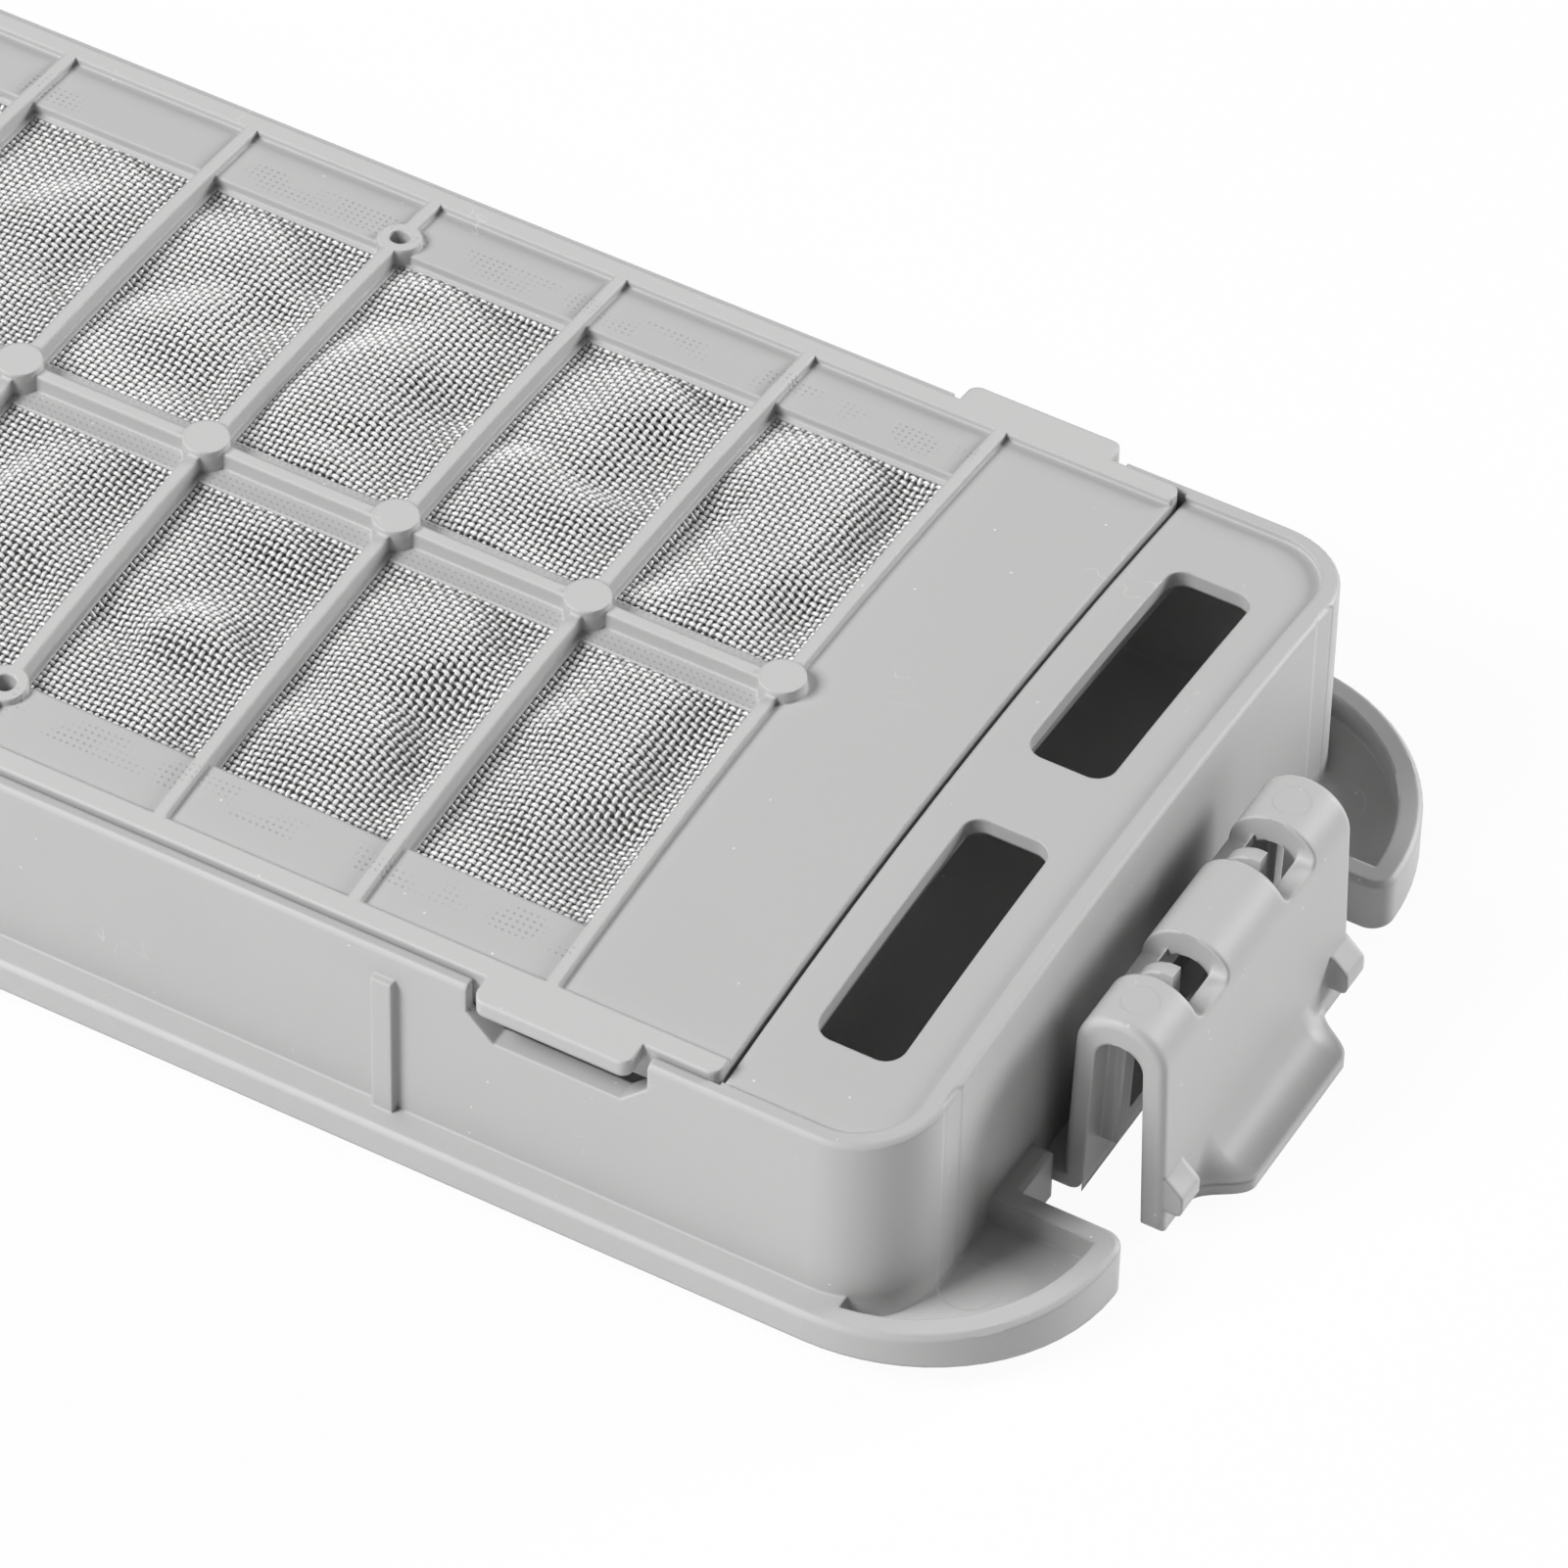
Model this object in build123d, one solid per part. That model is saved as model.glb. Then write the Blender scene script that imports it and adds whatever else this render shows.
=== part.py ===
from build123d import *
import math
import os

# Washing machine filter cartridge, in millimetres.
# X runs along the cartridge towards the latch, Y across it, and Z up from the drum-side face to the mesh lid.
# Lengths along X are first measured from the lid's middle rib, and the finished pieces are then centred.

# Curvature shared by the crowned back and the bulging drum-side face
ARCH_RADIUS = 375.0

# Heights above the lowest line of the drum-side face, and drops below the back
BACK_HEIGHT = 32.0
PLATE_RIM_HEIGHT = 7.2
LATCH_DROP = 5.1
PIVOT_DROP = 5.8

# Lid frame
RIB_PITCH = 22.0
RIB_COUNT = 7
RIB_WIDTH = 1.3
END_PANEL = 19.4
LID_HALF_WIDTH = 46.4
LID_RIM_WIDTH = 2.2
STRIP_WIDTH = 8.2
LID_DEPTH = 4.5
PANEL_DROP = 0.8
LID_FREE_CORNER = 1.2
CROSS_BOSS_RADIUS = 2.4
CROSS_BOSS_RISE = 0.7
RING_BOSS_RADIUS = 2.3
RING_BOSS_INSET = 7.0
RING_HOLE_RADIUS = 1.1
RING_HOLE_DEPTH = 2.4
TAB_LENGTH = 17.2
TAB_REACH = 2.9
TAB_THICK = 1.9
TAB_FROM_END = 8.1
TAB_CORNER = 1.2

# Filter mesh held in the lid frame
MESH_DROP = 2.4
MESH_THICK = 0.5
MESH_GRIP = 2.0
MESH_LEDGE = 0.5
MIDDLE_LEDGE = 2.7
MESH_LEDGE_COVER = 0.4
MESH_GAPS_PER_CELL = 8
MESH_GAP_WIDTH = 1.9
MESH_GAP_MARGIN = 0.9

# Lid hinge
BARREL_RADIUS = 6.2
PIVOT_SETBACK = 5.9
PIN_RADIUS = 1.2
PIN_CLEARANCE = 0.06
PIN_END_INSET = 0.2
HINGE_CLEARANCE = 0.7
SWING_CLEARANCE = 0.25
HINGE_WALL_DROP = 0.5
HINGE_CUT_HALF = 38.0

# Casing
LID_SIDE_GAP = 0.3
LID_END_GAP = 0.5
LID_SEAT_GAP = 0.3
UPPER_WALL = 1.3
SEAT_WIDTH = 1.2
END_WALL = 2.2
WALL_DROP = 0.7
CASE_CORNER = 9.2
FACE_SKIN = 2.2
WALL_EDGE_BREAK = 0.4

# Slotted deck at the latch end
DECK_LENGTH = 20.2
DECK_DROP = 1.5
DECK_THICK = 2.0
DECK_RIM_WIDTH = 2.1
DECK_RIM_SIDE = 1.7
DECK_RIM_CORNER = 7.0
DECK_EDGE_WALL = 1.6
DECK_EDGE_DEPTH = 6.0
SLOT_SETBACK = 4.0
SLOT_WIDTH = 9.3
SLOT_LENGTH = 31.6
SLOT_INNER_Y = 5.0
SLOT_CORNER = 2.2

# Finger notches and grip ribs on the side walls
NOTCH_LENGTH = 20.0
NOTCH_FLOOR = 22.0
NOTCH_CHAMFER = 3.0
SIDE_RIB_WIDTH = 2.3
SIDE_RIB_RISE = 0.9
SIDE_RIB_TOP = 25.0
SIDE_RIB_X = 49.7

# Face plate
PLATE_SIDE = 3.4
PLATE_LATCH_END = 13.9
PLATE_HINGE_END = 6.0
PLATE_CORNER = 22.0
PLATE_EDGE_BREAK = 0.5
LOBE_RIM = 2.5
LOBE_DEPTH = 3.0
LOBE_SETBACK = 5.6
LOBE_TIP_CORNER = 2.4
CLEFT_HALF = 26.6
CLEFT_STRIP = 2.2
TONGUE_WIDTH = 14.0
TONGUE_LENGTH = 5.0
TONGUE_THICK = 2.4
TONGUE_Y = 25.0
TONGUE_LOW = 2.6

# Latch, a spring clip moulded with the casing
LATCH_HALF_WIDTH = 19.4
LATCH_STANDOFF = 3.2
LATCH_GAP = 5.3
LEG_THICK = 2.3
LEG_SPLAY_DEG = 1.8
LEG_LOW = 0.3
CROWN_THICK = 3.0
LATCH_EDGE_ROUND = 0.9
FOOT_LOW = 1.6
FOOT_THICK = 1.7
FOOT_ROUND = 1.5
FOOT_SIDE_GAP = 1.1
STRAP_WIDTH = 9.4
STRAP_OPENING_LOW = 5.0
STRAP_OPENING_TOP = 19.5
STRAP_RIB_THICK = 1.8
STRAP_RIB_Y = 15.4
STRAP_RIB_LOW = 6.7
STRAP_RIB_DEPTH = 1.9
SADDLE_WIDTH = 6.6
SADDLE_INNER_Y = 5.6
SADDLE_DEPTH = 2.0
SADDLE_CORNER = 1.2
SADDLE_SHELF_DROP = 3.5
WINDOW_SETBACK = 2.2
GUSSET_THICK = 1.6
GUSSET_DEPTH = 1.7
GUSSET_OVERRUN = 0.5
TOOTH_WIDTH = 3.6
TOOTH_INSET = 0.4
TOOTH_LOW = 3.4
TOOTH_HEIGHT = 4.4
TOOTH_REACH = 1.9
TOOTH_LAND = 2.4
TOOTH_ROUND = 0.7
LIP_HALF_WIDTH = 14.2
LIP_TIP_HALF = 9.2
LIP_REACH = 4.9
LIP_BEND = 4.6
LIP_THICK = 1.4
LIP_RISE = 7.7
LIP_FADE = 0.05
LIP_SECTIONS = 5

# Places worked out from the sizes above
RIB_SPAN = (RIB_COUNT - 1) * RIB_PITCH / 2
RIB_X = [i * RIB_PITCH - RIB_SPAN for i in range(RIB_COUNT)]
LID_END = RIB_SPAN + END_PANEL
LID_START = -LID_END
LID_LOW = BACK_HEIGHT - LID_DEPTH
LATCH_HEIGHT = BACK_HEIGHT - LATCH_DROP
PIVOT_HEIGHT = BACK_HEIGHT - PIVOT_DROP
PANEL_LEVEL = BACK_HEIGHT - PANEL_DROP
MESH_TOP = BACK_HEIGHT - MESH_DROP
MESH_LOW = MESH_TOP - MESH_THICK
LEDGE_TOP = MESH_TOP + MESH_LEDGE_COVER
LID_INNER = LID_HALF_WIDTH - LID_RIM_WIDTH
WINDOW_HALF = LID_INNER - STRIP_WIDTH
PIVOT_X = LID_START + PIVOT_SETBACK

WELL_HALF = LID_HALF_WIDTH + LID_SIDE_GAP
CASE_HALF = WELL_HALF + UPPER_WALL
CAVITY_HALF = WELL_HALF - SEAT_WIDTH
CAVITY_START = LID_START - HINGE_CLEARANCE
CASE_START = CAVITY_START - END_WALL
DECK_START = LID_END + LID_END_GAP
CASE_END = DECK_START + DECK_LENGTH
CAVITY_END = CASE_END - END_WALL
CASE_LENGTH = CASE_END - CASE_START
WALL_TOP = BACK_HEIGHT - WALL_DROP
DECK_TOP = BACK_HEIGHT - DECK_DROP
DECK_LOW = DECK_TOP - DECK_THICK
SEAT_LEVEL = LID_LOW - LID_SEAT_GAP
INNER_CORNER = CASE_CORNER - UPPER_WALL
LID_HINGE_CORNER = INNER_CORNER - LID_SIDE_GAP

TAB_END = LID_END - TAB_FROM_END
TAB_START = TAB_END - TAB_LENGTH
NOTCH_X = (TAB_START + TAB_END) / 2
SLOT_X = DECK_START + SLOT_SETBACK + SLOT_WIDTH / 2

PLATE_HALF = CASE_HALF + PLATE_SIDE
PLATE_START = CASE_START - PLATE_HINGE_END
PLATE_END = CASE_END + PLATE_LATCH_END

CROWN_OUTER = LATCH_GAP / 2 + LEG_THICK
CROWN_INNER = LATCH_GAP / 2
CROWN_X = CASE_END + LATCH_STANDOFF + CROWN_OUTER
CROWN_OUTER_Z = LATCH_HEIGHT - CROWN_OUTER
CROWN_INNER_Z = LATCH_HEIGHT - CROWN_THICK - CROWN_INNER
LIP_TOP = LEG_LOW + LIP_RISE
TONGUE_END = PLATE_START - TONGUE_LENGTH

REACH = 4 * CASE_LENGTH
SKY = 2 * BACK_HEIGHT


def crown(height):
    """Everything below the crowned back surface whose ridge is at this height."""
    return Pos(0, 0, height - ARCH_RADIUS) * Rot(0, 90, 0) * Cylinder(ARCH_RADIUS, REACH)


def face_bulge(height):
    """Everything above the bulging face, moved inwards by this height."""
    return Pos(0, 0, ARCH_RADIUS) * Rot(0, 90, 0) * Cylinder(ARCH_RADIUS - height, REACH)


def area(x_from, x_to, y_from, y_to):
    """A plain rectangle in plan."""
    return Pos((x_from + x_to) / 2, (y_from + y_to) / 2) * Rectangle(x_to - x_from, y_to - y_from)


def both_sides(x_from, x_to, y_from, y_to):
    """The same rectangle on the near and the far side."""
    return area(x_from, x_to, y_from, y_to) + area(x_from, x_to, -y_to, -y_from)


def centred(x_from, x_to, half, corner):
    """A rounded rectangle about the long axis."""
    return Pos((x_from + x_to) / 2, 0) * RectangleRounded(x_to - x_from, 2 * half, corner)


def prism(outline, low, high):
    """A plan outline carried straight up between two heights."""
    return extrude(Pos(0, 0, low) * outline, amount=high - low)


def slab(outline, low, high):
    """A plan outline carried up between two crowned levels."""
    return prism(outline, 0, SKY) & crown(high) - crown(low)


def above(outline, level):
    """A plan outline from a crowned level upwards, for cutting."""
    return prism(outline, 0, SKY) - crown(level)


def side_profile(face, half_width):
    """A profile drawn in X and Z, carried across the cartridge to both sides."""
    return extrude(Plane.XZ * face, amount=half_width, both=True)


def across_bar(radius, half_width, x, z):
    """A round bar across the cartridge."""
    return Pos(x, 0, z) * Rot(90, 0, 0) * Cylinder(radius, 2 * half_width)


def lid_outline():
    """Plan of the lid: square corners at the free end, rounded ones at the hinge."""
    plan = area(LID_START, LID_END, -LID_HALF_WIDTH, LID_HALF_WIDTH)
    plan = fillet(plan.vertices().group_by(Axis.X)[0], LID_HINGE_CORNER)
    return fillet(plan.vertices().group_by(Axis.X)[-1], LID_FREE_CORNER)


def mesh_outline():
    """Plan of the mesh, which is gripped past the windows on all sides."""
    half_length = RIB_SPAN - RIB_WIDTH / 2 + MESH_GRIP
    half_width = WINDOW_HALF + MESH_GRIP
    return Rectangle(2 * half_length, 2 * half_width)


def bays():
    """The X limits of each row of mesh windows."""
    return [(a + RIB_WIDTH / 2, b - RIB_WIDTH / 2) for a, b in zip(RIB_X, RIB_X[1:])]


def lift_tabs():
    """The two tabs that a finger lifts the lid by."""
    root = LID_HALF_WIDTH - LID_RIM_WIDTH / 2
    tip = LID_HALF_WIDTH + TAB_REACH
    far = area(TAB_START, TAB_END, root, tip)
    far = fillet(far.vertices().group_by(Axis.Y)[-1], TAB_CORNER)
    return slab(far + mirror(far, Plane.XZ), BACK_HEIGHT - TAB_THICK, BACK_HEIGHT)


def hinge_pins():
    """The two pins that the lid turns on."""
    return across_bar(PIN_RADIUS, CASE_HALF - PIN_END_INSET, PIVOT_X, PIVOT_HEIGHT) - Box(
        REACH, 2 * LID_INNER, REACH
    )


def lid_frame():
    """The lid's moulded frame: rim, ribs, bosses, end panels, tabs and hinge pins."""
    body = slab(lid_outline(), LID_LOW, BACK_HEIGHT)
    hinge_end = area(LID_START - END_PANEL, PIVOT_X, -CASE_HALF, CASE_HALF)
    body -= prism(hinge_end, PIVOT_HEIGHT, SKY) - across_bar(BARREL_RADIUS, CASE_HALF, PIVOT_X, PIVOT_HEIGHT)

    free_panel = area(RIB_X[-1] + RIB_WIDTH / 2, LID_END + END_PANEL, -LID_INNER, LID_INNER)
    hinge_panel = area(PIVOT_X + RIB_WIDTH, RIB_X[0] - RIB_WIDTH / 2, -LID_INNER, LID_INNER)
    body -= above(free_panel + hinge_panel, PANEL_LEVEL)
    strips = Sketch() + [both_sides(a, b, RIB_WIDTH / 2, LID_INNER) for a, b in bays()]
    body -= above(strips, PANEL_LEVEL)
    windows = Sketch() + [both_sides(a, b, RIB_WIDTH / 2, WINDOW_HALF) for a, b in bays()]
    body -= above(windows, LEDGE_TOP)
    body -= prism(windows_at_mesh(), 0, SKY)

    bosses = Sketch() + [Pos(x, 0) * Circle(CROSS_BOSS_RADIUS) for x in RIB_X]
    body += slab(bosses, LID_LOW, BACK_HEIGHT + CROSS_BOSS_RISE)
    ring_y = LID_INNER - RING_BOSS_INSET
    ring_places = Locations((0, ring_y), (0, -ring_y))
    body += slab(Sketch() + ring_places * Circle(RING_BOSS_RADIUS), LID_LOW, BACK_HEIGHT)
    body -= above(Sketch() + ring_places * Circle(RING_HOLE_RADIUS), BACK_HEIGHT - RING_HOLE_DEPTH)

    body += lift_tabs()
    body += hinge_pins()
    return body - slab(mesh_outline(), MESH_LOW, MESH_TOP)


def windows_at_mesh():
    """The windows at the mesh, gripped by a ledge that is wider along the middle rib."""
    inner = RIB_WIDTH / 2 + MIDDLE_LEDGE
    outer = WINDOW_HALF - MESH_LEDGE
    return Sketch() + [both_sides(a + MESH_LEDGE, b - MESH_LEDGE, inner, outer) for a, b in bays()]


def filter_mesh():
    """The woven mesh as one sheet, its threads as bars between long gaps."""
    inner = RIB_WIDTH / 2 + MIDDLE_LEDGE + MESH_GAP_MARGIN
    outer = WINDOW_HALF - MESH_LEDGE - MESH_GAP_MARGIN
    pitch = (outer - inner - MESH_GAP_WIDTH) / (MESH_GAPS_PER_CELL - 1)
    edge = MESH_LEDGE + MESH_GAP_MARGIN
    gaps = Sketch()
    for start, end in bays():
        lows = [inner + i * pitch for i in range(MESH_GAPS_PER_CELL)]
        gaps += [both_sides(start + edge, end - edge, low, low + MESH_GAP_WIDTH) for low in lows]
    return slab(mesh_outline(), MESH_LOW, MESH_TOP) - prism(gaps, 0, SKY)


def plate_outline():
    """Plan of the face plate."""
    return centred(PLATE_START, PLATE_END, PLATE_HALF, PLATE_CORNER)


def case_outline():
    """Plan of the casing's outer wall."""
    return centred(CASE_START, CASE_END, CASE_HALF, CASE_CORNER)


def face_plate():
    """The bulging face plate with its cleft for the latch and two hollow lobes."""
    foot_gap = LATCH_HALF_WIDTH + FOOT_SIDE_GAP
    cleft = area(CASE_END + CLEFT_STRIP, PLATE_END + PLATE_CORNER, -CLEFT_HALF, CLEFT_HALF)
    plan = plate_outline() - cleft - area(CASE_END, PLATE_END, -foot_gap, foot_gap)
    lobe_tips = plan.vertices().group_by(Axis.X)[-1].sort_by(lambda v: abs(v.Y))[:2]
    plate = prism(fillet(lobe_tips, LOBE_TIP_CORNER), 0, PLATE_RIM_HEIGHT)
    plate = chamfer(plate.edges().group_by(Axis.Z)[-1], PLATE_EDGE_BREAK)
    plate &= face_bulge(0)
    hollow = offset(plate_outline(), -LOBE_RIM)
    lobes = both_sides(CASE_END - LOBE_SETBACK, PLATE_END, CLEFT_HALF + LOBE_RIM, PLATE_HALF)
    return plate - prism(hollow & lobes, PLATE_RIM_HEIGHT - LOBE_DEPTH, SKY)


def locating_tongues():
    """Two tongues at the hinge end that slide under the drum's edge."""
    tip = centred(TONGUE_END, PLATE_START + TONGUE_LENGTH, TONGUE_WIDTH / 2, TONGUE_THICK)
    places = Locations((0, TONGUE_Y), (0, -TONGUE_Y))
    return prism(Sketch() + places * tip, TONGUE_LOW, TONGUE_LOW + TONGUE_THICK)


def case_walls():
    """The casing's outer block, crowned on its back, before it is hollowed."""
    block = prism(case_outline(), 0, SKY) & crown(WALL_TOP)
    top = block.faces().sort_by(Axis.Z)[-1]
    block = chamfer(top.edges(), WALL_EDGE_BREAK)
    return block & face_bulge(0)


def case_hollow():
    """The lint space under the lid and deck, and the well that the lid lies in."""
    lint = centred(CAVITY_START, CAVITY_END, CAVITY_HALF, INNER_CORNER)
    hollow = prism(lint, 0, SKY) & face_bulge(FACE_SKIN) & crown(DECK_LOW)
    edge_wall = area(DECK_START, DECK_START + DECK_EDGE_WALL, -CAVITY_HALF, CAVITY_HALF)
    hollow -= above(edge_wall, DECK_LOW - DECK_EDGE_DEPTH)
    well = centred(CAVITY_START, DECK_START + INNER_CORNER, WELL_HALF, INNER_CORNER)
    well &= area(CAVITY_START, DECK_START, -WELL_HALF, WELL_HALF)
    return hollow + above(well, SEAT_LEVEL)


def deck_cuts():
    """The deck's sunk floor inside its rim, and its two long slots."""
    half = CASE_HALF - DECK_RIM_SIDE
    floor = centred(DECK_START - DECK_LENGTH, CASE_END - DECK_RIM_WIDTH, half, DECK_RIM_CORNER)
    floor &= area(DECK_START, CASE_END, -CASE_HALF, CASE_HALF)
    slot = RectangleRounded(SLOT_WIDTH, SLOT_LENGTH, SLOT_CORNER)
    slot_y = SLOT_INNER_Y + SLOT_LENGTH / 2
    slots = Sketch() + Locations((SLOT_X, slot_y), (SLOT_X, -slot_y)) * slot
    return above(floor, DECK_TOP) + above(slots, DECK_LOW - DECK_THICK)


def finger_notches():
    """Notches with slanted lower corners in the side walls under the lid's tabs."""
    profile = Pos(NOTCH_X, NOTCH_FLOOR + SKY / 2) * Rectangle(NOTCH_LENGTH, SKY)
    profile = chamfer(profile.vertices().group_by(Axis.Y)[0], NOTCH_CHAMFER)
    return side_profile(profile, REACH) - Box(REACH, 2 * LID_INNER, REACH)


def hinge_cuts():
    """Pin holes, room for the lid's rounded end to turn, and the lowered end wall."""
    holes = across_bar(PIN_RADIUS + PIN_CLEARANCE, CASE_HALF + UPPER_WALL, PIVOT_X, PIVOT_HEIGHT)
    swing = across_bar(BARREL_RADIUS + SWING_CLEARANCE, WELL_HALF, PIVOT_X, PIVOT_HEIGHT)
    end_wall = centred(CASE_START - CASE_CORNER, CAVITY_START + CASE_CORNER, HINGE_CUT_HALF, CASE_CORNER)
    end_wall &= area(CASE_START - CASE_CORNER, CAVITY_START, -HINGE_CUT_HALF, HINGE_CUT_HALF)
    return holes + swing + prism(end_wall, PIVOT_HEIGHT - HINGE_WALL_DROP, SKY)


def grip_ribs():
    """Upright ribs on the outside of both side walls."""
    half = SIDE_RIB_WIDTH / 2
    rib = both_sides(-half, half, CASE_HALF - UPPER_WALL / 2, CASE_HALF + SIDE_RIB_RISE)
    places = Locations((SIDE_RIB_X, 0), (-SIDE_RIB_X, 0))
    return prism(Sketch() + places * rib, PLATE_RIM_HEIGHT - LOBE_DEPTH, SIDE_RIB_TOP)


def leg_reach(radius, centre_z, height):
    """How far from the crown's middle a splayed leg is at a height, for a bend of this radius."""
    splay = math.radians(LEG_SPLAY_DEG)
    return (radius + (centre_z - height) * math.sin(splay)) / math.cos(splay)


def leg_face_x(height):
    """Where the outer face of the pressed leg is at a height."""
    return CROWN_X + leg_reach(CROWN_OUTER, CROWN_OUTER_Z, height)


def leg_back_x(height):
    """Where the inner face of the pressed leg is at a height."""
    return CROWN_X + leg_reach(CROWN_INNER, CROWN_INNER_Z, height)


def bend_profile(radius, centre_z, low):
    """The side view of a bend whose two legs splay from it down to a height."""
    foot = leg_reach(radius, centre_z, low)
    arc = CenterArc((CROWN_X, centre_z), radius, LEG_SPLAY_DEG, 180 - 2 * LEG_SPLAY_DEG)
    legs = Polyline(arc @ 1, (CROWN_X - foot, low), (CROWN_X + foot, low), arc @ 0)
    return make_face(arc + legs)


def saddle_cuts():
    """Two grooves over the crown, open to the gap under it, with a round-cornered shelf on the outer leg."""
    y_to = SADDLE_INNER_Y + SADDLE_WIDTH
    window_start = CROWN_X - WINDOW_SETBACK
    groove = prism(both_sides(CASE_END, window_start, SADDLE_INNER_Y, y_to), CROWN_OUTER_Z, SKY)
    groove -= across_bar(CROWN_OUTER - SADDLE_DEPTH, LATCH_HALF_WIDTH, CROWN_X, CROWN_OUTER_Z)
    window = both_sides(window_start, leg_back_x(CROWN_INNER_Z), SADDLE_INNER_Y, y_to)
    middle_y = SADDLE_INNER_Y + SADDLE_WIDTH / 2
    middle_z = LATCH_HEIGHT - SADDLE_SHELF_DROP + SKY / 2
    rounded = RectangleRounded(SADDLE_WIDTH, SKY, SADDLE_CORNER)
    shelf_views = Sketch() + [Pos(y, middle_z) * rounded for y in (middle_y, -middle_y)]
    shelf = extrude(Plane.YZ.offset(CROWN_X) * shelf_views, amount=PLATE_END - CROWN_X)
    return groove + prism(window, CROWN_INNER_Z, SKY) + shelf


def clip():
    """The whole bent clip with rounded ends, its saddles, and an opening between the inner straps."""
    body = side_profile(bend_profile(CROWN_OUTER, CROWN_OUTER_Z, LEG_LOW), LATCH_HALF_WIDTH)
    body = fillet(body.faces().filter_by(Axis.Y).edges(), LATCH_EDGE_ROUND)
    body -= side_profile(bend_profile(CROWN_INNER, CROWN_INNER_Z, -LEG_LOW), REACH)
    opening_half = LATCH_HALF_WIDTH - STRAP_WIDTH
    body -= prism(area(CASE_END, CROWN_X, -opening_half, opening_half), STRAP_OPENING_LOW, STRAP_OPENING_TOP)
    return body - saddle_cuts()


def strap_ribs():
    """A stiffening rib down the inside of each inner strap."""
    top_x = CROWN_X - leg_reach(CROWN_INNER, CROWN_INNER_Z, CROWN_INNER_Z)
    low_x = CROWN_X - leg_reach(CROWN_INNER, CROWN_INNER_Z, STRAP_RIB_LOW)
    side = Polyline(
        (low_x - LEG_THICK / 2, STRAP_RIB_LOW),
        (low_x + STRAP_RIB_DEPTH, STRAP_RIB_LOW),
        (top_x + STRAP_RIB_DEPTH, CROWN_INNER_Z),
        (top_x + STRAP_RIB_DEPTH, CROWN_OUTER_Z + CROWN_INNER),
        (top_x - LEG_THICK / 2, CROWN_INNER_Z),
        close=True,
    )
    rib_y = STRAP_RIB_Y - STRAP_RIB_THICK / 2
    ribs = prism(both_sides(CASE_END, CROWN_X, rib_y, rib_y + STRAP_RIB_THICK), 0, SKY)
    return side_profile(make_face(side), LATCH_HALF_WIDTH) & ribs


def gussets():
    """A rib inside the bend under each saddle, its tip seen through the window."""
    gusset_y = SADDLE_INNER_Y + (SADDLE_WIDTH - GUSSET_THICK) / 2
    start = CROWN_X - CROWN_OUTER + LEG_THICK / 2
    plan = both_sides(start, CROWN_X + GUSSET_OVERRUN, gusset_y, gusset_y + GUSSET_THICK)
    bend = across_bar(CROWN_INNER + LEG_THICK / 2, LATCH_HALF_WIDTH, CROWN_X, CROWN_INNER_Z)
    web = prism(plan, CROWN_INNER_Z - GUSSET_DEPTH, CROWN_INNER_Z)
    return web + (prism(plan, CROWN_INNER_Z, SKY) & bend)


def latch_root():
    """The fixed half of the clip: foot, inner straps, half the crown, ribs and gussets."""
    fixed = Pos(CROWN_X - REACH / 2, 0, FOOT_LOW + REACH / 2) * Box(REACH, REACH, REACH)
    root = clip() & fixed
    foot_end = CROWN_X - leg_reach(CROWN_INNER, CROWN_INNER_Z, FOOT_LOW)
    plan = area(CASE_END - END_WALL / 2, foot_end, -LATCH_HALF_WIDTH, LATCH_HALF_WIDTH)
    foot = prism(plan, FOOT_LOW, FOOT_LOW + FOOT_THICK)
    foot_edge = foot.edges().filter_by(Axis.Y).group_by(Axis.Z)[0].sort_by(Axis.X)[-1]
    heel = foot - fillet(foot_edge, FOOT_ROUND)
    return root + foot + strap_ribs() + gussets() - heel


def teeth():
    """Blunt wedge teeth low on the pressed leg that catch behind the drum's edge."""
    tip_x = leg_face_x(TOOTH_LOW) + TOOTH_REACH
    top = TOOTH_LOW + TOOTH_HEIGHT
    wedge = Polyline(
        (leg_face_x(TOOTH_LOW) - LEG_THICK / 2, TOOTH_LOW),
        (tip_x, TOOTH_LOW),
        (tip_x, TOOTH_LOW + TOOTH_LAND),
        (leg_face_x(top), top),
        (leg_face_x(top) - LEG_THICK / 2, top),
        close=True,
    )
    profile = make_face(wedge)
    profile = fillet(profile.vertices().group_by(Axis.X)[-1], TOOTH_ROUND)
    half = LATCH_HALF_WIDTH - TOOTH_INSET
    return side_profile(profile, half) - Box(REACH, 2 * (half - TOOTH_WIDTH), REACH)


def lip_section(flare):
    """The side view of the pressed leg's foot, flared outwards by a share of the lip's full reach."""
    bend_z = LEG_LOW + LIP_THICK
    bend = (leg_face_x(bend_z), bend_z)
    heel = (leg_back_x(LEG_LOW), LEG_LOW)
    tip_x = leg_face_x(bend_z) + flare * LIP_REACH
    outline = Polyline(
        (leg_face_x(LIP_TOP), LIP_TOP),
        bend,
        (tip_x, bend_z),
        (tip_x, LEG_LOW),
        heel,
        (leg_back_x(LIP_TOP), LIP_TOP),
        close=True,
    )
    section = make_face(outline)
    section = fillet(section.vertices().sort_by_distance(bend)[0], flare * LIP_BEND)
    return fillet(section.vertices().sort_by_distance(heel)[0], flare * LIP_BEND + LIP_THICK)


def lip_cheek(side):
    """One end of the lip, where its flare fades out along the leg in a soft curve."""
    steps = [i / (LIP_SECTIONS - 1) for i in range(LIP_SECTIONS)]
    sections = []
    for step in steps:
        flare = LIP_FADE + (1 - LIP_FADE) * (1 - math.cos(step * math.pi)) / 2
        y = LIP_HALF_WIDTH + step * (LIP_TIP_HALF - LIP_HALF_WIDTH)
        sections.append(Plane.XZ.offset(-side * y) * lip_section(flare))
    return loft(sections)


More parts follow.
